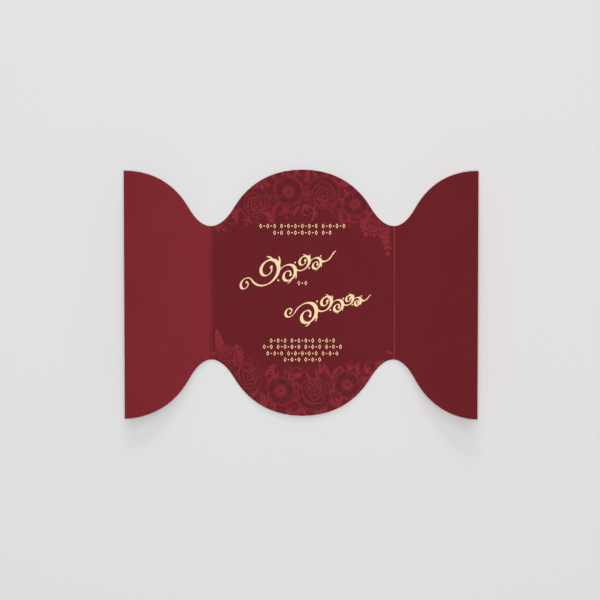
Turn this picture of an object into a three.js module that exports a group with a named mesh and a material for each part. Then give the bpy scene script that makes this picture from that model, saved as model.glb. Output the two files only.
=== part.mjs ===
// Gate-fold wedding card, lying open on its middle panel.
//
// The card is one sheet of coloured card. A die cuts its wavy top and bottom edges and presses two
// creases into it, and the two side flaps fold inwards along those creases to meet in the middle.
// Folded once and opened again, the flaps spring back up from the table and droop a little towards
// their free edges. Beyond the notches no crease stiffens the middle panel, and its domes curl up.
//
// Millimetres, +Z up. The origin is the middle of the middle panel's underside, X runs from flap to
// flap and Y along the creases.

import * as THREE from 'three';

// The blank, measured flat
const PANEL_WIDTH = 132;          // crease to crease, the width of the closed card
const CROWN_HEIGHT = 178;         // overall height, at the crown of the waves
const WAIST_HEIGHT = 96.6;        // height left between the notches, on the creases
const SHEET_THICKNESS = 0.45;     // a 350 g card
const MEETING_GAP = 2;            // between the free edges once both flaps are folded in

// One half wave of the edge, from a crown to the notch on a crease
const CROWN_HANDLE = 33.3;        // how far the crown runs out flat before it turns down
const SHOULDER_ANGLE = 57.9;      // steepest slope of the edge, degrees
const SHOULDER_HANDLE = 6.75;     // how far the shoulder runs straight below the crown
const NOTCH_HALF_WIDTH = 16.4;    // crease to the shoulder, where the edge turns from dome to notch
const NOTCH_RISE = 12.8;          // shoulder above the bottom of the notch

// The creases: a bead stands up on the inside, over a groove that the rule leaves on the outside
const BEAD_WIDTH = 1.6;
const BEAD_HEIGHT = 0.25;
const GROOVE_WIDTH = 1.0;
const GROOVE_DEPTH = 0.15;

// How the sheet lies when it is opened again
const LEFT_SPRINGBACK = 21;       // rise of the left flap at its crease, degrees
const RIGHT_SPRINGBACK = 26;      // rise of the right flap at its crease, degrees
const FLAP_DROOP = 3;             // degrees by which a flap flattens towards its free edge
const DOME_CURL = 2.5;            // how far the crown of a dome stands off the table

// Fineness of the facets
const CURVE_DIVISIONS = 14;       // along each curve of the edge
const CREASE_DIVISIONS = 10;      // across a bead
const ROW_DIVISIONS = 16;         // from the bottom edge to the top edge
const SHORTEST_STRIP = 0.04;      // stations closer than this are one

const CARD_COLOUR = 0x70262c;

const halfPanel = PANEL_WIDTH / 2;
const flapWidth = halfPanel - MEETING_GAP / 2;

// The half wave, as half the sheet's height over the distance from the crown's middle line.
function halfWave() {
  const crown = CROWN_HEIGHT / 2;
  const waist = WAIST_HEIGHT / 2;
  const slope = THREE.MathUtils.degToRad(SHOULDER_ANGLE);
  const shoulder = new THREE.Vector2(halfPanel - NOTCH_HALF_WIDTH, waist + NOTCH_RISE);
  const aboveShoulder = new THREE.Vector2(-Math.cos(slope), Math.sin(slope))
    .multiplyScalar(SHOULDER_HANDLE)
    .add(shoulder);
  const notchFoot = shoulder.x + NOTCH_RISE / Math.tan(slope);

  const edge = new THREE.Path();
  edge.moveTo(0, crown);
  edge.bezierCurveTo(CROWN_HANDLE, crown, aboveShoulder.x, aboveShoulder.y, shoulder.x, shoulder.y);
  edge.quadraticCurveTo(notchFoot, waist, halfPanel, waist);
  return edge.getPoints(CURVE_DIVISIONS);
}

// Half the sheet's height at a distance from the middle line. The edge is mirrored at each crease,
// so that a closed flap lies on the dome behind it.
function halfHeightAt(distance, wave) {
  const folded = distance > halfPanel ? PANEL_WIDTH - distance : distance;
  const next = wave.findIndex((point) => point.x >= folded);
  if (next < 1) return wave[next === 0 ? 0 : wave.length - 1].y;
  const [a, b] = [wave[next - 1], wave[next]];
  return THREE.MathUtils.mapLinear(folded, a.x, b.x, a.y, b.y);
}

// Distances from the middle line, out to a free edge, at which the sheet gets a line across it.
function stationsOutwards(wave) {
  const fromWave = wave.flatMap((point) => [point.x, PANEL_WIDTH - point.x]);
  const ridge = Math.max(BEAD_WIDTH, GROOVE_WIDTH);
  const acrossCrease = Array.from({ length: CREASE_DIVISIONS + 1 }, (_, i) =>
    halfPanel + ridge * (i / CREASE_DIVISIONS - 0.5));
  const freeEdge = halfPanel + flapWidth;
  const all = [...fromWave, ...acrossCrease]
    .filter((distance) => distance < freeEdge - SHORTEST_STRIP)
    .sort((a, b) => a - b);
  const apart = all.filter((distance, i) => i === 0 || distance - all[i - 1] > SHORTEST_STRIP);
  return [...apart, freeEdge];
}

// Slope of the sheet at a distance from the middle line: flat to the crease, turning up through the
// width of the bead, then easing off along the flap.
function slopeAt(distance, springback) {
  const pastCrease = distance - halfPanel;
  const turned = THREE.MathUtils.clamp(pastCrease / BEAD_WIDTH + 0.5, 0, 1);
  const along = THREE.MathUtils.clamp(pastCrease / flapWidth, 0, 1);
  return THREE.MathUtils.degToRad(turned * springback - along * FLAP_DROOP);
}

// A smooth ridge of height 1 over a crease, gone at half its width to either side.
function ridgeAt(distance, width) {
  const share = Math.min(Math.abs(distance - halfPanel) / (width / 2), 1);
  return (1 + Math.cos(Math.PI * share)) / 2;
}

// How far the middle panel has curled up at a height above or below the middle of the card.
function curlAt(height) {
  const beyondNotch = Math.max(Math.abs(height) - WAIST_HEIGHT / 2, 0);
  return DOME_CURL * (beyondNotch / (CROWN_HEIGHT / 2 - WAIST_HEIGHT / 2)) ** 2;
}

// Walks from the middle line to a free edge and notes, at each station, where the two faces of the
// sheet are. Side is 1 for the right half and -1 for the left.
function walkOutwards(side, springback, wave) {
  const middle = new THREE.Vector2(0, SHEET_THICKNESS / 2);
  let last = 0;
  return stationsOutwards(wave).map((distance) => {
    const step = slopeAt((last + distance) / 2, springback);
    middle.x += (distance - last) * Math.cos(step);
    middle.y += (distance - last) * Math.sin(step);
    last = distance;

    const slope = slopeAt(distance, springback);
    const normal = new THREE.Vector2(-Math.sin(slope), Math.cos(slope));
    const inside = SHEET_THICKNESS / 2 + BEAD_HEIGHT * ridgeAt(distance, BEAD_WIDTH);
    const outside = -SHEET_THICKNESS / 2 + GROOVE_DEPTH * ridgeAt(distance, GROOVE_WIDTH);
    const faceAt = (offset) => ({
      x: side * (middle.x + normal.x * offset),
      z: middle.y + normal.y * offset,
    });
    return {
      inside: faceAt(inside),
      outside: faceAt(outside),
      halfHeight: halfHeightAt(distance, wave),
      curls: distance < halfPanel,
    };
  });
}

// The whole sheet: a flat box with one strip between each two stations, laid along the folded
// section.
function foldedSheet() {
  const wave = halfWave();
  const right = walkOutwards(1, RIGHT_SPRINGBACK, wave);
  const left = walkOutwards(-1, LEFT_SPRINGBACK, wave);
  const stations = [...left.slice(1).reverse(), ...right];
  const strips = stations.length - 1;

  const sheet = new THREE.BoxGeometry(1, 1, 1, strips, ROW_DIVISIONS, 1);
  const corners = sheet.attributes.position;
  for (let i = 0; i < corners.count; i += 1) {
    const station = stations[Math.round((corners.getX(i) + 0.5) * strips)];
    const face = corners.getZ(i) > 0 ? station.inside : station.outside;
    const height = 2 * corners.getY(i) * station.halfHeight;
    corners.setXYZ(i, face.x, height, face.z + (station.curls ? curlAt(height) : 0));
  }
  sheet.computeVertexNormals();
  return sheet;
}

const cardStock = new THREE.MeshStandardMaterial({
  color: CARD_COLOUR,
  roughness: 0.85,
  metalness: 0,
});

const cardSheet = new THREE.Mesh(foldedSheet(), cardStock);
cardSheet.name = 'card_sheet';

const weddingCard = new THREE.Group();
weddingCard.add(cardSheet);

export default weddingCard;
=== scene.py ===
import math
import random

import bpy
import numpy as np
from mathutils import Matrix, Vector
from mathutils.geometry import delaunay_2d_cdt


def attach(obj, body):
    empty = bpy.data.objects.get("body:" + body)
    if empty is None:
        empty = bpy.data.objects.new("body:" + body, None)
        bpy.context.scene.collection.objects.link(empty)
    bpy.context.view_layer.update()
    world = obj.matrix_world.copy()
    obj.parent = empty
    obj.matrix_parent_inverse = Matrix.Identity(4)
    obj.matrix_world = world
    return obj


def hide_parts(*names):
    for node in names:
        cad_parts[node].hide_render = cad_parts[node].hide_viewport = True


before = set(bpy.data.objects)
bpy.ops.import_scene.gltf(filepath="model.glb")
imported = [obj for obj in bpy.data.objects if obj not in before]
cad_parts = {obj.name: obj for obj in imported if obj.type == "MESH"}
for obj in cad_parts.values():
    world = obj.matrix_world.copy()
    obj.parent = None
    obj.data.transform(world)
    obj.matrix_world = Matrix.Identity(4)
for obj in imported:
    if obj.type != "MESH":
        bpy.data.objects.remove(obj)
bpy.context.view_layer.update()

MM = 0.001
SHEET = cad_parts["card_sheet"]
SCENE = bpy.context.scene


def add_object(name, data):
    """A new object in the scene."""
    made = bpy.data.objects.new(name, data)
    SCENE.collection.objects.link(made)
    return made


# Camera: far off, with a long lens, a little towards the top of the card from straight above

PHOTO_WIDTH_PX = 600
PHOTO_MM_PER_PX = 0.7222
CAMERA_DISTANCE_PX = 2932
CAMERA_TILT = math.asin(0.077)
LOOK_AT = Vector((-1.7, -5.2, 0.0)) * MM

camera_data = bpy.data.cameras.new("photo_camera")
camera = add_object("photo_camera", camera_data)
camera_data.sensor_width = 36.0
camera_data.lens = camera_data.sensor_width * CAMERA_DISTANCE_PX / PHOTO_WIDTH_PX
camera_data.clip_end = 20.0
camera_reach = CAMERA_DISTANCE_PX * PHOTO_MM_PER_PX * MM
towards_camera = Vector((0, math.sin(CAMERA_TILT), math.cos(CAMERA_TILT)))
camera.location = LOOK_AT + camera_reach * towards_camera
camera.rotation_euler = (-CAMERA_TILT, 0, 0)
SCENE.camera = camera
SCENE.view_settings.view_transform = "Standard"


# The lie of the sheet, read from the solid

def face_line(upward):
    """A face of the solid from left to right: x, half height, z in the middle, z at the rim."""
    mesh = SHEET.data
    columns = {}
    for polygon in mesh.polygons:
        if polygon.normal.z * upward > 0.5:
            for index in polygon.vertices:
                x, y, z = mesh.vertices[index].co
                columns.setdefault(round(x, 7), []).append((abs(y), z))
    line = []
    for x in sorted(columns):
        (_, middle), (half_height, rim) = min(columns[x]), max(columns[x])
        line.append((x, half_height, middle, rim))
    return np.array(line)


upper_line = face_line(1)
under_line = face_line(-1)
crown = upper_line[np.argmin(np.abs(upper_line[:, 0]))]
sheet_thickness = float(crown[2])
dome_curl = float(crown[3] - crown[2])
crown_half_height = float(crown[1])
waist_half_height = float(upper_line[:, 1].min())

# The middle panel is level across, from one bead to the other
panel_line = upper_line[np.abs(upper_line[:, 2] - sheet_thickness) < 1e-6]
panel_half_width = float(panel_line[-1][0])


def panel_half_height(x):
    """Half the height of the middle panel at x, in millimetres."""
    return float(np.interp(x * MM, upper_line[:, 0], upper_line[:, 1])) / MM


def panel_lift(y):
    """How far the middle panel has curled up at y, both in metres."""
    beyond_notch = max(abs(y) - waist_half_height, 0)
    return dome_curl * (beyond_notch / (crown_half_height - waist_half_height)) ** 2


# Materials

def srgb(red, green, blue):
    """A colour as read off a screen, 0 to 255, as the linear colour that a shader takes."""
    def linear(value):
        share = value / 255
        return share / 12.92 if share <= 0.04045 else ((share + 0.055) / 1.055) ** 2.4
    return (linear(red), linear(green), linear(blue), 1.0)


class Nodes:
    """A material with its node tree, and short ways to add the usual nodes."""

    def __init__(self, name):
        self.material = bpy.data.materials.new(name)
        self.material.use_nodes = True
        self.tree = self.material.node_tree
        self.shader = self.tree.nodes["Principled BSDF"]
        self.place = self.tree.nodes.new("ShaderNodeTexCoord").outputs["Object"]

    def node(self, kind, inputs=(), **settings):
        made = self.tree.nodes.new("ShaderNode" + kind)
        for name, value in settings.items():
            setattr(made, name, value)
        for key, value in dict(inputs).items():
            if isinstance(value, bpy.types.NodeSocket):
                self.tree.links.new(value, made.inputs[key])
            else:
                made.inputs[key].default_value = value
        return made

    def stretched(self, scale):
        mapping = self.node("Mapping", {"Vector": self.place, "Scale": scale})
        return mapping.outputs["Vector"]

    def noise(self, scale, detail, place=None):
        made = self.node("TexNoise", {
            "Vector": self.place if place is None else place,
            "Scale": scale, "Detail": detail, "Roughness": 0.55,
        })
        return made.outputs["Fac"]

    def ramp(self, value, low, high):
        """0 to 1 as the value goes from low to high, which may be the smaller one."""
        made = self.node("MapRange", {
            "Value": value, "From Min": low, "From Max": high, "To Min": 0.0, "To Max": 1.0,
        })
        return made.outputs["Result"]

    def math(self, operation, first, second=0.0):
        return self.node("Math", {0: first, 1: second}, operation=operation).outputs[0]

    def mix(self, share, first, second):
        made = self.node("Mix", {0: share, 6: first, 7: second}, data_type="RGBA")
        return made.outputs[2]

    def bump(self, height, distance):
        made = self.node("Bump", {"Height": height, "Distance": distance, "Strength": 1.0})
        self.tree.links.new(made.outputs["Normal"], self.shader.inputs["Normal"])

    def set(self, **values):
        """Sets inputs of the shader, to a value or by a link."""
        for name, value in values.items():
            socket = self.shader.inputs[name.replace("_", " ")]
            if isinstance(value, bpy.types.NodeSocket):
                self.tree.links.new(value, socket)
            else:
                socket.default_value = value


CARD_COLOUR = srgb(96, 29, 34)
CREASE_HIGHLIGHT_COLOUR = srgb(114, 45, 48)
LINE_COLOUR = srgb(132, 39, 49)
WASH_COLOUR = srgb(106, 33, 39)
SHADE_COLOUR = srgb(87, 27, 31)
CREAM_COLOUR = srgb(233, 207, 162)

# A painted highlight runs along the creases, on the outer slope of the bead, where the bead
# catches the light
CREASE_HIGHLIGHT_LINE = panel_half_width + 1.2 * MM
CREASE_HIGHLIGHT_REACH = 0.75 * MM
CREASE_HIGHLIGHT_EVEN = 0.4           # share of the reach where the painted highlight is even, before it fades

# Card and ink are matte, and hardly shine even at a glancing angle
CARD_ROUGHNESS = 0.8
SHINE = 0.05


def scaled(colour, factor):
    return tuple(channel * factor for channel in colour[:3]) + (1.0,)


def card_material():
    """Uncoated card dyed through: short fibres pressed flat, a little mottled and softly rough."""
    nodes = Nodes("burgundy_card_stock")
    cloud = nodes.noise(38.0, 3.0)
    fibre_across = nodes.noise(900.0, 6.0, nodes.stretched((1.0, 0.22, 1.0)))
    fibre_along = nodes.noise(900.0, 6.0, nodes.stretched((0.2, 1.0, 1.0)))
    fibres = nodes.math("MULTIPLY", fibre_across, fibre_along)
    patches = nodes.ramp(cloud, 0.3, 0.7)
    mottled = nodes.mix(patches, scaled(CARD_COLOUR, 0.97), scaled(CARD_COLOUR, 1.03))
    flecked = nodes.mix(nodes.ramp(fibres, 0.38, 0.55), mottled, scaled(CARD_COLOUR, 1.12))

    # The painted highlight is strongest on the right crease, and hardly there on the left
    across = nodes.node("SeparateXYZ", {"Vector": nodes.place}).outputs["X"]
    outwards = nodes.math("SUBTRACT", nodes.math("ABSOLUTE", across), CREASE_HIGHLIGHT_LINE)
    from_line = nodes.math("ABSOLUTE", outwards)
    highlight_mask = nodes.ramp(from_line, CREASE_HIGHLIGHT_REACH, CREASE_HIGHLIGHT_REACH * CREASE_HIGHLIGHT_EVEN)
    highlight_mask = nodes.math("MULTIPLY", highlight_mask, nodes.ramp(across, -1.1 * CREASE_HIGHLIGHT_LINE, CREASE_HIGHLIGHT_LINE))
    patchy_highlight = nodes.math("MULTIPLY", highlight_mask, nodes.ramp(cloud, 0.1, 0.5))
    # Mixes the painted crease highlight into the card's own colour
    highlighted = nodes.mix(patchy_highlight, flecked, CREASE_HIGHLIGHT_COLOUR)
    nodes.set(Base_Color=highlighted, Roughness=CARD_ROUGHNESS, Specular_IOR_Level=SHINE)
    nodes.bump(fibres, 0.06 * MM)
    return nodes.material


def ink_material(name, colour, roughness):
    """A matte ink that soaks into the card, so the fibres show through it a little."""
    nodes = Nodes(name)
    fibres = nodes.noise(1400.0, 5.0)
    inked = nodes.mix(nodes.ramp(fibres, 0.35, 0.65), scaled(colour, 0.95), scaled(colour, 1.04))
    nodes.set(Base_Color=inked, Roughness=roughness, Specular_IOR_Level=SHINE)
    nodes.bump(fibres, 0.02 * MM)
    return nodes.material


# The sheet, with the die-cut edge slightly rounded over

ROWS = 60
EDGE_ROUNDING = 0.07 * MM
FLAP_UNEVENNESS = 0.16 * MM
FLAP_EASE = 60 * MM        # from the crease to where a flap is as uneven as it gets


def lift(x, y):
    """How far the sheet lies above its section: the curl of a dome, or a flap's unevenness."""
    past_crease = abs(x) - panel_half_width
    if past_crease < 0:
        return panel_lift(y)
    ease = min(past_crease / FLAP_EASE, 1) ** 1.5
    along, across = y / MM, x / MM
    broad_wave = math.sin(along * 0.031 + math.copysign(0.9, x))
    short_wave = math.sin(along * 0.067 + across * 0.03)
    return FLAP_UNEVENNESS * ease * (broad_wave + 0.5 * short_wave)


def make_sheet():
    columns = len(upper_line)
    corners = []
    for line in (upper_line, under_line):
        for x, half_height, z, _ in line:
            for row in range(ROWS + 1):
                y = half_height * (2 * row / ROWS - 1)
                corners.append((x, y, z + lift(x, y)))

    def corner(face, column, row):
        return (face * columns + column) * (ROWS + 1) + row

    faces = []
    for column in range(columns - 1):
        for row in range(ROWS):
            quad = [corner(0, column, row), corner(0, column + 1, row)]
            quad += [corner(0, column + 1, row + 1), corner(0, column, row + 1)]
            faces.append(quad)
            faces.append([index + columns * (ROWS + 1) for index in reversed(quad)])
        for row in (0, ROWS):
            rim = [corner(0, column, row), corner(1, column, row)]
            rim += [corner(1, column + 1, row), corner(0, column + 1, row)]
            faces.append(rim if row == 0 else rim[::-1])
    for row in range(ROWS):
        for column in (0, columns - 1):
            rim = [corner(0, column, row), corner(0, column, row + 1)]
            rim += [corner(1, column, row + 1), corner(1, column, row)]
            faces.append(rim if column == 0 else rim[::-1])

    mesh = bpy.data.meshes.new("card_body")
    mesh.from_pydata(corners, [], faces)
    mesh.shade_smooth()
    piece = add_object("card_body", mesh)
    rounding = piece.modifiers.new("rounding", "BEVEL")
    rounding.width = EDGE_ROUNDING
    rounding.segments = 2
    rounding.limit_method = "ANGLE"
    rounding.angle_limit = math.radians(60)
    rounding.harden_normals = True
    mesh.materials.append(card_material())
    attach(piece, "root")
    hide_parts("card_sheet")
    return piece


# Drawing on the middle panel, in millimetres, from the front backwards

FINE_STEP = 0.85           # between the corners of a curve


def polar(length, angle):
    return np.array((math.cos(angle), math.sin(angle))) * length


def smooth(points):
    """A smooth line through a few points."""
    points = [np.array(point, float) for point in points]
    ends = [2 * points[0] - points[1]] + points + [2 * points[-1] - points[-2]]
    line = [points[0]]
    for before, start, end, after in zip(ends, ends[1:], ends[2:], ends[3:]):
        steps = max(2, round(float(np.linalg.norm(end - start)) / FINE_STEP))
        for share in np.linspace(0, 1, steps + 1)[1:]:
            line.append(0.5 * (
                2 * start + (end - before) * share
                + (2 * before - 5 * start + 4 * end - after) * share ** 2
                + (3 * start - before - 3 * end + after) * share ** 3
            ))
    return line


def circle(centre, radius, corners=14):
    return [np.array(centre) + polar(radius, 2 * math.pi * i / corners) for i in range(corners)]


def signed_area(points):
    area = 0.0
    for (ax, ay), (bx, by) in zip(points, points[1:] + points[:1]):
        area += ax * by - bx * ay
    return area / 2


def turned_left(outline):
    """The outline as plain corners, counter-clockwise."""
    outline = [tuple(point) for point in outline]
    return outline if signed_area(outline) > 0 else outline[::-1]


def is_convex(quad):
    """Whether a quad turns left at every corner, and by enough to have an inside."""
    turns = []
    for i in range(4):
        (ax, ay), (bx, by), (cx, cy) = quad[i - 2], quad[i - 1], quad[i]
        turns.append((bx - ax) * (cy - by) - (by - ay) * (cx - bx))
    return min(turns) > 1e-5


def inside(outline, points):
    """Which points lie in an outline: those with an odd number of its edges to their right."""
    found = np.zeros(len(points), bool)
    for (ax, ay), (bx, by) in zip(outline, outline[1:] + outline[:1]):
        if ay != by:
            level = (points[:, 1] < ay) != (points[:, 1] < by)
            crossing = ax + (points[:, 1] - ay) * (bx - ax) / (by - ay)
            found ^= level & (points[:, 0] < crossing)
    return found


KEEP_INSIDE_FACES = 1      # what the cut keeps: the triangles that lie in a face
CUT_TOLERANCE = 1e-5


class Sketch:
    """Line art on the middle panel: every shape hides whatever is drawn after it."""

    def __init__(self):
        self.shapes = []
        self.washes = []
        self.strokes = []

    def shape(self, outline, tone=None):
        """Adds a shape behind all the others, and returns its depth for what is drawn on it."""
        self.shapes.append((turned_left(outline), tone))
        return len(self.shapes) - 1

    def wash(self, outline, depth):
        """Tints part of the shape at this depth."""
        self.washes.append((turned_left(outline), depth))

    def line(self, points, width, depth=None, taper=(0.35, 0.35)):
        """A pen stroke. Its ends narrow to a share of its width."""
        depth = len(self.shapes) if depth is None else depth
        count = len(points)
        along = np.linspace(0, 1, count)
        swell = np.minimum(1, np.minimum(
            taper[0] + along * (1 - taper[0]) / 0.3,
            taper[1] + (1 - along) * (1 - taper[1]) / 0.3,
        ))
        self.stroke(points, width * swell, depth)

    def stroke(self, points, widths, depth):
        points = np.array(points, float)
        heading = np.gradient(points, axis=0)
        heading /= np.maximum(np.linalg.norm(heading, axis=1, keepdims=True), 1e-9)
        aside = np.stack((-heading[:, 1], heading[:, 0]), axis=1) * (np.array(widths)[:, None] / 2)
        left, right = points + aside, points - aside
        for i in range(len(points) - 1):
            quad = [tuple(corner) for corner in (right[i], right[i + 1], left[i + 1], left[i])]
            if is_convex(quad):
                self.strokes.append((quad, depth))

    def seen_strokes(self):
        """The strokes without the parts that lie wholly under one shape in front of them."""
        quads = np.array([quad for quad, _ in self.strokes])
        depths = np.array([depth for _, depth in self.strokes])
        least, most = quads.min(axis=1), quads.max(axis=1)
        hidden = np.zeros(len(quads), bool)
        for depth, (outline, _) in enumerate(self.shapes):
            low, high = np.min(outline, axis=0), np.max(outline, axis=0)
            within = (least > low).all(axis=1) & (most < high).all(axis=1)
            near = np.nonzero((depths > depth) & ~hidden & within)[0]
            covered = inside(outline, quads[near].reshape(-1, 2)).reshape(-1, 4).all(axis=1)
            hidden[near[covered]] = True
        return [stroke for stroke, gone in zip(self.strokes, hidden) if not gone]

    def cut(self):
        """Cuts all of it into triangles side by side: the corners, and the triangles by tone."""
        corners, faces, kinds = [], [], []

        def add(outline, kind):
            faces.append(list(range(len(corners), len(corners) + len(outline))))
            corners.extend(Vector(point) for point in outline)
            kinds.append(kind)

        add(panel_outline(), ("panel", 0))
        for depth, (outline, _) in enumerate(self.shapes):
            add(outline, ("shape", depth))
        for outline, depth in self.washes:
            add(outline, ("wash", depth))
        for outline, depth in self.seen_strokes():
            add(outline, ("line", depth))

        points, _, triangles, _, _, origins = delaunay_2d_cdt(
            corners, [], faces, KEEP_INSIDE_FACES, CUT_TOLERANCE, True)
        backmost = len(self.shapes)
        tones = {}
        for triangle, sources in zip(triangles, origins):
            found = [kinds[source] for source in sources]
            if ("panel", 0) not in found:
                continue
            front = min((depth for kind, depth in found if kind == "shape"), default=backmost)
            if any(kind == "line" and depth <= front for kind, depth in found):
                tones.setdefault("line", []).append(triangle)
            elif ("wash", front) in found:
                tones.setdefault("wash", []).append(triangle)
            elif front < backmost and self.shapes[front][1]:
                tones.setdefault(self.shapes[front][1], []).append(triangle)
        return points, tones


PRINT_MARGIN = 0.25        # left bare along the edges
PRINT_COLUMNS = 160
INK_DEPTH = 0.03 * MM


def panel_outline():
    """The printable face: the middle panel up to its die-cut edge and its beads."""
    reach = panel_half_width / MM - PRINT_MARGIN
    across = np.linspace(-reach, reach, PRINT_COLUMNS)
    upper = [(x, panel_half_height(x) - PRINT_MARGIN) for x in across]
    return [(x, -y) for x, y in upper] + upper[::-1]


def make_print(name, corners, triangles, material, height):
    """A thin closed film of ink over these triangles, sunk slightly into the card."""
    used = sorted({index for triangle in triangles for index in triangle})
    place = {index: position for position, index in enumerate(used)}
    flat = [(corners[i].x * MM, corners[i].y * MM) for i in used]
    points = [
        (x, y, sheet_thickness + rise + panel_lift(y))
        for rise in (height, -INK_DEPTH) for x, y in flat
    ]
    upper = [[place[index] for index in triangle] for triangle in triangles]
    faces = upper + [[index + len(used) for index in reversed(triangle)] for triangle in upper]
    edges = {(a, b) for t in upper for a, b in zip(t, t[1:] + t[:1])}
    for a, b in edges:
        if (b, a) not in edges:
            faces.append([b, a, a + len(used), b + len(used)])
    mesh = bpy.data.meshes.new(name)
    mesh.from_pydata(points, [], faces)
    mesh.materials.append(material)
    piece = add_object(name, mesh)
    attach(piece, "root")
    return piece


# Botanical motifs

OUTLINE_PEN = 0.4
VEIN_PEN = 0.3
HATCH_PEN = 0.22

chance = random.Random(11)


def vary(amount):
    return chance.uniform(-amount, amount)


class Blade:
    """A leaf or petal along a bent axis: u runs from its base to its tip, v from side to side."""

    def __init__(self, base, heading, length, width, bend, profile):
        self.base = np.array(base, float)
        self.heading, self.length, self.width = heading, length, width
        self.bend, self.profile = bend, profile

    def at(self, u, v):
        turned = self.heading + self.bend * u
        middle = self.heading + self.bend * u / 2
        aside = polar(self.width / 2 * self.profile(u) * v, turned + math.pi / 2)
        return self.base + polar(self.length * u, middle) + aside

    def row(self, u_from, u_to, v_from, v_to):
        steps = max(2, round(abs(u_to - u_from) * self.length / FINE_STEP))
        return [
            self.at(u_from + (u_to - u_from) * s, v_from + (v_to - v_from) * s)
            for s in np.linspace(0, 1, steps + 1)
        ]


def leaf_profile(u):
    return 1.62 * max(u, 0.0) ** 0.62 * max(1 - u, 0.0) ** 0.85


def leaf(sketch, base, heading, length, width, bend=0.0, veins=4):
    """A pointed leaf: one half tinted, the other half in shade."""
    blade = Blade(base, heading, length, width, bend, leaf_profile)
    spread = [(1 - math.cos(math.pi * s)) / 2 for s in np.linspace(0, 1, 10)]
    side = [blade.at(u, 1) for u in spread]
    other = [blade.at(u, -1) for u in spread]
    midrib = blade.row(0, 0.98, 0, 0)
    depth = sketch.shape(side + other[-2:0:-1], "shade")
    sketch.wash((side if bend > 0 else other) + midrib[::-1], depth)
    sketch.line(side, OUTLINE_PEN, depth)
    sketch.line(other, OUTLINE_PEN, depth)
    sketch.line(midrib, VEIN_PEN * 1.2, depth)
    for i in range(veins):
        start = 0.12 + 0.7 * i / veins
        for v in (-0.84, 0.84):
            sketch.line(blade.row(start, min(start + 0.2, 0.97), 0, v), VEIN_PEN, depth)


def petal_profile(u):
    swell = math.sin(math.pi / 2 * min(1.0, u / 0.72)) ** 0.75
    return swell * (1 - 0.12 * max(0.0, u - 0.72) / 0.28)


def petal(sketch, base, heading, length, width, ripple, notch=0.0, hatch=3, lip=True):
    """A petal that widens to a rounded rim: tinted at its foot, hatched, with a rolled lip."""
    blade = Blade(base, heading, length, width, vary(0.25), petal_profile)
    phase = vary(math.pi)

    def rim(v):
        wave = ripple * math.sin(5.2 * v + phase) + ripple * 0.5 * math.sin(11 * v + 2 * phase)
        rounded = 1 - 0.24 * abs(v) ** 2.6
        return rounded + wave * (1 - v * v) - notch * math.exp(-(v / 0.16) ** 2)

    sides = [0.0, 0.12, 0.28, 0.46, 0.64]
    across = np.linspace(-1, 1, 13)
    edge = [blade.at(u, -1) for u in sides if u < rim(-1)]
    edge += [blade.at(rim(v), v) for v in across]
    edge += [blade.at(u, 1) for u in reversed(sides) if u < rim(1)]
    depth = sketch.shape(edge, "shade")
    sketch.line(edge, OUTLINE_PEN, depth)
    foot = 0.4 + vary(0.06)
    tinted = [blade.at(foot * (1 - 0.35 * v * v), v * 0.92) for v in across[::2]]
    sketch.wash([blade.at(0.05, 0)] + tinted, depth)
    if lip:
        folds = [(v, rim(v) - 0.085 - 0.02 * math.cos(3 * v + phase)) for v in across[1:-1]]
        inner = [blade.at(u, v * 0.88) for v, u in folds]
        sketch.line(inner, VEIN_PEN, depth, taper=(0.2, 0.2))
    for i in range(hatch):
        v = (2 * (i + 0.5) / hatch - 1) * 0.8 + vary(0.05)
        top = foot + chance.uniform(0.05, 0.25)
        sketch.line(blade.row(0.12, top, v * 0.8, v * 0.9), HATCH_PEN, depth)
    for v in (-0.72, 0.72):
        top = rim(v) - 0.06
        sketch.line(blade.row(top, top - chance.uniform(0.18, 0.3), v, v * 0.96), HATCH_PEN, depth)


def rose(sketch, centre, radius, facing=0.0, tilt=0.0):
    """A garden rose, seen into its heart: rings of petals wrapped round a spiral."""
    centre = np.array(centre, float)
    heart = centre + polar(radius * 0.1 * tilt, facing)
    ring = circle(heart, radius * 0.13)
    depth = sketch.shape(ring, "shade")
    sketch.line(ring[:-1], VEIN_PEN, depth)
    shares = np.linspace(0, 1, 14)
    coil = [heart + polar(radius * 0.1 * (1 - s * 0.8), 7.5 * s + facing) for s in shares]
    sketch.line(coil, VEIN_PEN, depth)
    whorls = ((0.27, 3), (0.46, 4), (0.7, 5), (1.0, 6))
    for whorl, (share, count) in enumerate(whorls):
        start = facing + 0.9 * whorl + vary(0.3)
        base = heart + (centre - heart) * share - polar(radius * 0.12 * tilt * share, facing)
        for i in range(count):
            heading = start + 2 * math.pi * (i + vary(0.08)) / count
            squash = 1 - 0.18 * tilt * math.cos(heading - facing)
            length = radius * share * squash * (1 + vary(0.06))
            width = 2 * math.pi * length / count * 1.25
            petal(sketch, base, heading, length, width, ripple=0.035, hatch=0 if whorl < 2 else 3)


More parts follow.
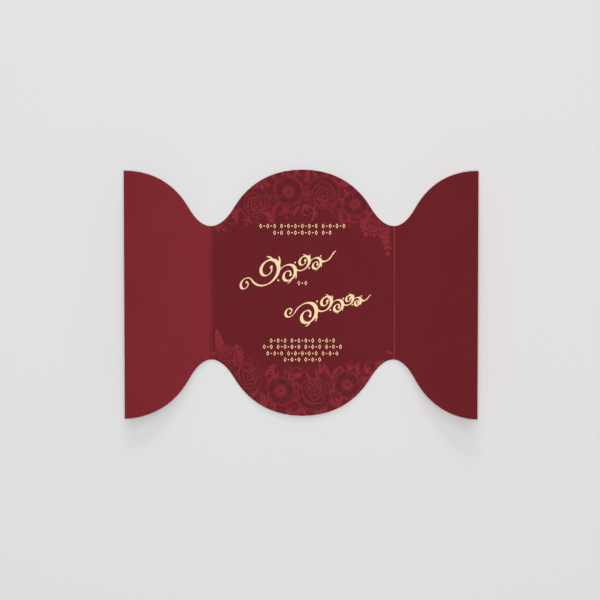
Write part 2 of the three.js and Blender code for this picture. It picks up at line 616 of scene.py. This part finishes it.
def anemone(sketch, centre, radius, facing=0.0):
    """An open flower with a domed middle, a ring of stamens and broad petals."""
    centre = np.array(centre, float)
    ring = circle(centre, radius * 0.14, 16)
    depth = sketch.shape(ring, "shade")
    sketch.line(ring + ring[:1], OUTLINE_PEN, depth, taper=(1, 1))
    for reach, seeds in ((0.04, 3), (0.09, 7)):
        for seed in circle(centre, radius * reach, seeds):
            dot = [seed + polar(0.14, facing), seed - polar(0.14, facing)]
            sketch.line(dot, 0.3, depth, taper=(1, 1))
    for i in range(15):
        heading = facing + 2 * math.pi * (i + vary(0.2)) / 15
        reach = radius * chance.uniform(0.27, 0.38)
        tip = centre + polar(reach, heading)
        bead = sketch.shape(circle(tip, 0.36, 7), "line")
        thread = [centre + polar(reach * s, heading) for s in (0.5, 0.75, 0.95)]
        sketch.line(thread, HATCH_PEN, bead)
    for whorl, (share, count) in enumerate(((0.93, 5), (1.0, 4))):
        for i in range(count):
            heading = facing + math.pi / 5 * whorl + 2 * math.pi * (i + vary(0.06)) / count
            length = radius * share * (1 + vary(0.05))
            petal(sketch, centre, heading, length, length * 1.05,
                  ripple=0.025, notch=0.06, hatch=5, lip=whorl == 0)


def bud(sketch, base, heading, size):
    """A closed bud from the side, in its sepals."""
    base = np.array(base, float)
    for turn in (-0.5, 0.5, 0.0):
        leaf(sketch, base, heading + turn, size * 0.62, size * 0.2, bend=turn, veins=0)
    for turn, share in ((0.0, 1.0), (-0.34, 0.95), (0.34, 0.95)):
        petal(sketch, base, heading + turn, size * share, size * 0.62, ripple=0.02, lip=False)


def berries(sketch, root, heading, size):
    """A forked twig with a berry on each tip."""
    root = np.array(root, float)
    for turn, share in ((-0.55, 0.75), (0.0, 1.0), (0.5, 0.8), (-0.25, 0.55), (0.25, 0.6)):
        tip = root + polar(size * share, heading + turn)
        ring = circle(tip, size * 0.07 + 0.3, 12)
        ball = sketch.shape(ring, "wash")
        sketch.line(ring + ring[:1], VEIN_PEN, ball, taper=(1, 1))
        bow = root + polar(size * share * 0.55, heading + turn * 0.55)
        sketch.line(smooth([root, bow, tip]), VEIN_PEN)


def spray(sketch, route, length, width, pairs):
    """A stem with leaves in pairs that grow shorter towards its tip."""
    stem = smooth(route)
    count = len(stem)
    for i in range(pairs):
        share = 1 - (i + 0.1) / pairs
        at = min(int(share * (count - 1)), count - 2)
        ahead = stem[at + 1] - stem[at]
        heading = math.atan2(ahead[1], ahead[0])
        grown = 0.55 + 0.45 * min(1.0, 1.6 * i / pairs)
        for side in (-1, 1):
            turned = heading + side * 0.75 + vary(0.14)
            leaf(sketch, stem[at], turned, length * grown, width * grown,
                 bend=-side * 0.45, veins=3 if length > 5 else 0)
        if i == 0:
            leaf(sketch, stem[-1], heading, length * 0.6, width * 0.55, veins=2)
    sketch.line(stem, VEIN_PEN * 1.4)


def frond(sketch, base, heading, length, bend):
    """A thin curved stalk with narrow leaflets, alternately on either side."""
    stalk = Blade(base, heading, length, 1.0, bend, leaf_profile)
    count = max(5, round(length / 1.5))
    for i in range(count, 0, -1):
        u = i / count
        side = 1 if i % 2 else -1
        turned = heading + bend * u + side * 0.75 * (1.1 - u * 0.6) + vary(0.1)
        reach = 2.9 * (1.15 - 0.6 * u)
        slip = Blade(stalk.at(u * 0.98, 0), turned, reach, reach * 0.3, -side * 0.3, leaf_profile)
        edge = [slip.at(s, 1) for s in (0, 0.2, 0.5, 0.8, 1)]
        other = [slip.at(s, -1) for s in (0, 0.2, 0.5, 0.8)]
        sketch.shape(edge + other[:0:-1], "wash")
    sketch.line(stalk.row(0, 1, 0, 0), VEIN_PEN)


def curl(sketch, start, heading, length, hand):
    """A tendril that winds up at its end."""
    line = [np.array(start, float)]
    steps = 26
    for i in range(steps):
        heading += hand * 0.05 * math.exp(3.0 * i / steps)
        line.append(line[-1] + polar(length / steps * (1.25 - 0.75 * i / steps), heading))
    sketch.line(line, VEIN_PEN * 1.1)


def foliage(sketch, centre, radius, count):
    """Leaves, fronds and tendrils that look out from behind a flower."""
    for i in range(count):
        heading = 2 * math.pi * (i + vary(0.4)) / count
        base = np.array(centre) + polar(radius * 0.72, heading)
        kind = chance.random()
        if kind < 0.5:
            size = radius * chance.uniform(0.55, 0.85)
            leaf(sketch, base, heading + vary(0.35), size, size * chance.uniform(0.3, 0.42),
                 vary(0.7), veins=3)
        elif kind < 0.8:
            frond(sketch, base, heading + vary(0.3), radius * chance.uniform(0.7, 1.0), vary(0.7))
        else:
            turned = heading + vary(0.3)
            reach = radius * chance.uniform(0.8, 1.1)
            curl(sketch, base, turned, reach, hand=chance.choice((-1, 1)))


# Borders of flowers

LEAF_SLIMNESS = 0.36       # width over length
SMALL_FLOWER = 9.0         # radius under which a flower gets fewer leaves round it


def edge_leaves(sketch, end):
    """Leaves of every size that run off the die-cut edge."""
    x = -60.0
    while x < 61:
        edge = panel_half_height(x)
        outwards = math.pi / 2 - x * 0.014 + vary(0.9)
        length = chance.uniform(6, 14)
        leaf(sketch, (x, end * (edge - chance.uniform(3, 11))), end * outwards, length,
             length * chance.uniform(0.28, 0.42), vary(0.8))
        x += chance.uniform(2.5, 6.5)


def garland(end, flowers, buds, leaves, sprays, twigs):
    """The border along one dome. End is 1 at the top of the card and -1 at the bottom."""
    sketch = Sketch()
    for flower, centre, radius, manner in flowers:
        flower(sketch, centre, radius, **manner)
    for base, heading, size in buds:
        bud(sketch, base, heading, size)
    for base, heading, length, bend in leaves:
        leaf(sketch, base, heading, length, length * LEAF_SLIMNESS, bend)
    for route, length, width, pairs in sprays:
        spray(sketch, route, length, width, pairs)
    for root, heading, size in twigs:
        berries(sketch, root, heading, size)
    for _, centre, radius, _ in flowers:
        foliage(sketch, centre, radius, 9 if radius > SMALL_FLOWER else 8)
    edge_leaves(sketch, end)
    return sketch


def upper_garland():
    return garland(
        1,
        flowers=(
            (rose, (15, 70), 11.5, {"facing": -1.8, "tilt": 0.9}),
            (anemone, (-10, 73), 11, {"facing": 0.3}),
            (rose, (-34, 64), 10.5, {"facing": -0.9, "tilt": 0.8}),
            (anemone, (38, 64), 10, {"facing": 1.1}),
            (rose, (52.5, 48.5), 7.5, {"facing": -2.2, "tilt": 0.7}),
        ),
        buds=(((-46.5, 57), -2.5, 9.5), ((2, 64), -1.3, 8.5), ((30, 78), 0.9, 9)),
        leaves=(
            ((-20, 62), -1.9, 12, 0.5), ((-23, 64), -2.5, 11, -0.4), ((26.5, 61), -1.2, 12, -0.5),
            ((28, 64), -0.5, 11, 0.4), ((-2, 63), -2.3, 9, 0.4), ((47, 59), -1.5, 11, 0.4),
            ((-44, 60), -3.0, 11, 0.5), ((-25, 76), 1.9, 13, 0.4), ((2, 80), 1.2, 10, 0.5),
            ((27, 77), 0.4, 14, -0.5), ((44, 66), 0.1, 10, -0.5), ((-43, 69), 2.2, 9, 0.3),
        ),
        sprays=(
            ([(53, 46), (58, 42), (61, 35), (61.5, 29)], 5.5, 2.6, 5),
            ([(46, 56), (44, 49), (45.5, 43)], 5, 2.1, 4),
            ([(-48, 58), (-54, 53.5), (-60, 51.5)], 4.6, 2.2, 4),
            ([(8, 61), (9, 57), (7.5, 53.5)], 3.4, 1.5, 3),
            ([(-24, 60), (-25, 56), (-23, 52.5)], 3.4, 1.5, 3),
        ),
        twigs=(((-14, 64), -1.3, 10), ((33, 57), -1.5, 9), ((-38, 56), -1.9, 7)),
    )


def lower_garland():
    return garland(
        -1,
        flowers=(
            (rose, (-39.5, -60.5), 11.5, {"facing": 0.7, "tilt": 0.9}),
            (rose, (9, -71), 11.5, {"facing": 1.4, "tilt": 0.8}),
            (anemone, (-15.5, -71), 11, {"facing": 0.1}),
            (anemone, (32.5, -66.5), 10.5, {"facing": 0.8}),
            (rose, (-56.5, -43.5), 7, {"facing": 1.9, "tilt": 0.7}),
        ),
        buds=(((45.5, -58), 0.8, 9.5), ((-3, -62), 1.7, 8), ((-28, -79), -2.2, 9)),
        leaves=(
            ((-27, -61), 1.2, 11, -0.4), ((-25, -64), 0.5, 11, 0.4), ((20, -61), 1.9, 11, 0.4),
            ((22, -60), 1.1, 9, -0.4), ((40, -60), 1.7, 10, -0.4), ((-48, -54), 1.6, 12, 0.4),
            ((43, -63), 0.1, 11, 0.5), ((-28, -75), -1.7, 12, 0.5), ((-2, -80), -1.3, 10, 0.5),
            ((20, -78), -0.8, 12, 0.5), ((38, -74), -0.4, 10, 0.4), ((-47, -66), -2.2, 9, 0.4),
        ),
        sprays=(
            ([(-57, -41), (-60, -36), (-61.5, -29.5)], 5.2, 2.5, 5),
            ([(-46, -52), (-45, -45), (-47, -39.5)], 5, 2.1, 4),
            ([(47, -58), (53, -53), (58, -50.5)], 4.6, 2.2, 4),
            ([(12, -60), (13.5, -56), (12.5, -53)], 3.4, 1.5, 3),
            ([(-20, -61), (-22, -57), (-20.5, -53.5)], 3.4, 1.5, 3),
        ),
        twigs=(((-10, -63), 1.4, 9), ((34, -58), 1.4, 8)),
    )


# Scrollwork and beaded rows

SCROLL_RISE = math.radians(14)
SCROLL_SLANT = 0.3
SCROLL_BRANCHING = math.radians(118)   # how far round a volute the next one leaves it
COIL_TIGHTENING = 0.155
BROAD_NIB = 2.9
FINE_NIB = 0.9
NIB_ANGLE = math.radians(28)


def nib_widths(points, taper):
    """How wide a broad nib draws along a line: by the way it runs, and fine at its ends."""
    ways = np.gradient(np.array(points), axis=0)
    turn = np.abs(np.sin(np.arctan2(ways[:, 1], ways[:, 0]) - NIB_ANGLE))
    along = np.linspace(0, 1, len(points))
    ends = np.minimum(1, taper[0] + along * 3) * np.minimum(1, taper[1] + (1 - along) * 1.3)
    return (FINE_NIB + (BROAD_NIB - FINE_NIB) * turn ** 1.4) * ends


class Flourish:
    """A running scroll, drawn along a line that rises to the right, and leaning with it."""

    def __init__(self, sketch, origin):
        self.sketch = sketch
        self.origin = np.array(origin, float)

    def placed(self, point):
        along, up = point
        forwards = polar(along + SCROLL_SLANT * up, SCROLL_RISE)
        return self.origin + forwards + polar(up, SCROLL_RISE + math.pi / 2)

    def pearl(self, centre, radius):
        self.sketch.shape([self.placed(point) for point in circle(centre, radius, 18)], "line")

    def coil(self, start, heading, radius, hand, turns, weight):
        """A volute that winds inwards to a pearl. Hand is 1 to the left and -1 to the right."""
        pitch = math.pi / 2 + math.atan(COIL_TIGHTENING)
        from_centre = heading - hand * pitch
        centre = start - polar(radius, from_centre)
        angles = np.linspace(0, 2 * math.pi * turns, round(44 * turns))
        reaches = radius * np.exp(-COIL_TIGHTENING * angles)
        line = [centre + polar(reach, from_centre + hand * a) for reach, a in zip(reaches, angles)]
        drawn = [self.placed(point) for point in line]
        self.sketch.stroke(drawn, nib_widths(drawn, (0.4, 0.3)) * weight, 0)
        self.pearl(line[-1], 0.3 + 0.75 * weight)
        return line, angles

    def leaf(self, base, heading, length, width, bend):
        """A solid leaf with a pointed tip."""
        blade = Blade(base, heading, length, width, bend, leaf_profile)
        spread = np.linspace(0, 1, 16)
        outline = [blade.at(u, 1) for u in spread]
        outline += [blade.at(u, -1) for u in spread[-2:0:-1]]
        self.sketch.shape([self.placed(point) for point in outline], "line")

    def tendril(self, start, heading, length, hand):
        """The free end of the stem, which swings round into a leaf."""
        line = [np.array(start, float)]
        steps = 30
        for i in range(steps):
            heading += hand * SCROLL_BRANCHING / steps * (1.25 - 0.5 * i / steps)
            line.append(line[-1] + polar(length / steps, heading))
        drawn = [self.placed(point) for point in line]
        self.sketch.stroke(drawn, nib_widths(drawn, (0.4, 0.5)) * 0.75, 0)
        base = line[-1] - polar(0.5, heading)
        self.leaf(base, heading, length * 0.42, length * 0.16, hand * -0.6)


def running_scroll(sketch, origin, radii, hand, tail):
    """Leafy volutes that branch from one another, by turns above and below the line."""
    flourish = Flourish(sketch, origin)
    point, heading = np.zeros(2), -hand * SCROLL_BRANCHING / 2
    flourish.coil(point, heading + math.pi, radii[0] * 0.42, hand, 1.1, 0.6)
    for radius in radii:
        weight = (radius / radii[0]) ** 0.4
        line, angles = flourish.coil(point, heading, radius, hand, 1.5, weight)
        for angle, size in ((2.75, 0.62), (3.7, 0.5)):
            base = line[int(np.searchsorted(angles, angle))]
            turned = heading + hand * (angle - 0.55)
            flourish.leaf(base, turned, radius * size, radius * size * 0.3, hand * 0.9)
        branch = int(np.searchsorted(angles, SCROLL_BRANCHING))
        point, heading = line[branch], heading + hand * angles[branch]
        beside = point + polar(0.3 * radius + 0.9, heading - hand * 2.5)
        flourish.pearl(beside, 0.3 + 0.35 * weight)
        hand = -hand
    flourish.tendril(point, heading, tail, hand)


def make_scrolls():
    sketch = Sketch()
    running_scroll(sketch, (-36.4, 9.2), (12.4, 8.4, 6.9, 5.7), 1, 10.5)
    running_scroll(sketch, (-5.6, -14.4), (10.3, 7.2, 5.9, 4.9, 4.1), -1, 7)
    return sketch


ROW_MARK_HEIGHT = 2.9
ROW_MARK_WIDTH = 1.6
ROW_MARK_PITCH = 2.5
ROW_BEAD_RADIUS = 0.45
ROW_PEN = 0.38


def beaded_row(sketch, y, groups):
    """Small open lozenges with beads between them, in groups, centred on the card."""
    places = sum(groups) + len(groups) - 1
    x = (1 - places) * ROW_MARK_PITCH / 2
    for group in groups:
        for i in range(group):
            if i % 2:
                sketch.shape(circle((x, y), ROW_BEAD_RADIUS, 12), "line")
            else:
                across, up = ROW_MARK_WIDTH / 2, ROW_MARK_HEIGHT / 2
                lozenge = [(x - across, y), (x, y + up), (x + across, y), (x, y - up)]
                for a, b in zip(lozenge, lozenge[1:] + lozenge[:1]):
                    sketch.stroke([a, b], [ROW_PEN, ROW_PEN], 0)
            x += ROW_MARK_PITCH
        x += ROW_MARK_PITCH


def make_rows():
    sketch = Sketch()
    for y, groups in (
        (48.3, (5, 11, 7)), (43.5, (3, 9, 3)), (7.1, (3,)),
        (-34.6, (5, 7, 5)), (-39.1, (3, 7, 5, 5)), (-43.9, (5, 9, 5)), (-48.4, (5, 5)),
    ):
        beaded_row(sketch, y, groups)
    return sketch


# The whole card

# How far each ink stands above the card
RISES = {"line": 0.02 * MM, "wash": 0.015 * MM, "shade": 0.01 * MM}
CREAM_RISE = 0.03 * MM

pieces = [make_sheet()]

inks = {
    "line": ink_material("rose_line_ink", LINE_COLOUR, 0.6),
    "wash": ink_material("rose_wash_ink", WASH_COLOUR, 0.65),
    "shade": ink_material("dark_burgundy_ink", SHADE_COLOUR, 0.65),
}
cream_ink = ink_material("cream_ink", CREAM_COLOUR, 0.55)

for label, sketch in (("upper", upper_garland()), ("lower", lower_garland())):
    corners, tones = sketch.cut()
    for tone, piece_name in (("line", "lines"), ("wash", "wash"), ("shade", "shade")):
        name = f"{label}_flower_{piece_name}"
        pieces.append(make_print(name, corners, tones[tone], inks[tone], RISES[tone]))

for name, sketch in (("scrollwork", make_scrolls()), ("beaded_rows", make_rows())):
    corners, tones = sketch.cut()
    pieces.append(make_print(name, corners, tones["line"], cream_ink, CREAM_RISE))


# Floor and light

FLOOR_COLOUR = srgb(241, 241, 241)
FLOOR_REACH = 4.0

# The card doesn't lie quite down, so its outline throws a soft shadow
FLOOR_GAP = 0.9 * MM


def make_floor():
    mesh = bpy.data.meshes.new("floor")
    low, high = -FLOOR_REACH, FLOOR_REACH
    corners = [(low, low, 0), (high, low, 0), (high, high, 0), (low, high, 0)]
    mesh.from_pydata(corners, [], [(0, 1, 2, 3)])
    floor = add_object("floor", mesh)
    floor.location.z = -FLOOR_GAP
    nodes = Nodes("pale_table")
    nodes.set(Base_Color=FLOOR_COLOUR, Roughness=0.9, Specular_IOR_Level=0.1)
    mesh.materials.append(nodes.material)
    return floor


def softbox(name, azimuth, elevation, distance, width, height, strength):
    """A lamp that faces the card. Angles are in degrees, lengths in metres."""
    data = bpy.data.lights.new(name, "AREA")
    data.shape = "RECTANGLE"
    data.size, data.size_y = width, height
    data.energy = strength
    lamp = add_object(name, data)
    azimuth, elevation = math.radians(azimuth), math.radians(elevation)
    flat = distance * math.cos(elevation)
    lamp.location = (
        flat * math.cos(azimuth),
        flat * math.sin(azimuth),
        distance * math.sin(elevation),
    )
    lamp.rotation_euler = Vector(lamp.location).to_track_quat("Z", "Y").to_euler()
    return lamp


def collection_of(name, pieces):
    collection = bpy.data.collections.new(name)
    for piece in pieces:
        collection.objects.link(piece)
    return collection


def shine_on(receivers, lamps):
    """Lets these lamps light these pieces alone.

    Every lamp needs such a list: one without it counts twice on the pieces in another's list.
    """
    lit = collection_of("lit_by_" + lamps[0].name, receivers)
    for lamp in lamps:
        lamp.light_linking.receiver_collection = lit


floor = make_floor()
shine_on(pieces + [floor], [
    softbox("overhead", 90, 85.6, 2.5, 0.3, 0.3, 32.5),
    softbox("high_back", 90, 68, 6.0, 2.0, 2.0, 51),
    softbox("low_back", 90, 38, 6.0, 2.0, 2.0, 46),
])

# The low lamps bring out the slope of the flaps. They light the card alone, shine through the
# flaps and don't glare. Otherwise the shadow of a flap would lie far over the table and the
# middle panel, and the panel would look veiled from the other side.
low_lamps = [
    softbox("right_rake", 0, 5, 0.9, 0.9, 0.1, 24.5),
    softbox("left_rake", 180, 6, 0.9, 0.9, 0.1, 9.3),
]
shine_on(pieces, low_lamps)
shaded_by_floor = collection_of("shaded_by_floor", [floor])
for lamp in low_lamps:
    lamp.light_linking.blocker_collection = shaded_by_floor
    lamp.visible_glossy = False

world = bpy.data.worlds.new("studio")
SCENE.world = world
world.use_nodes = True
background = world.node_tree.nodes["Background"]
background.inputs["Strength"].default_value = 0.14
background.inputs["Color"].default_value = (1, 1, 1, 1)
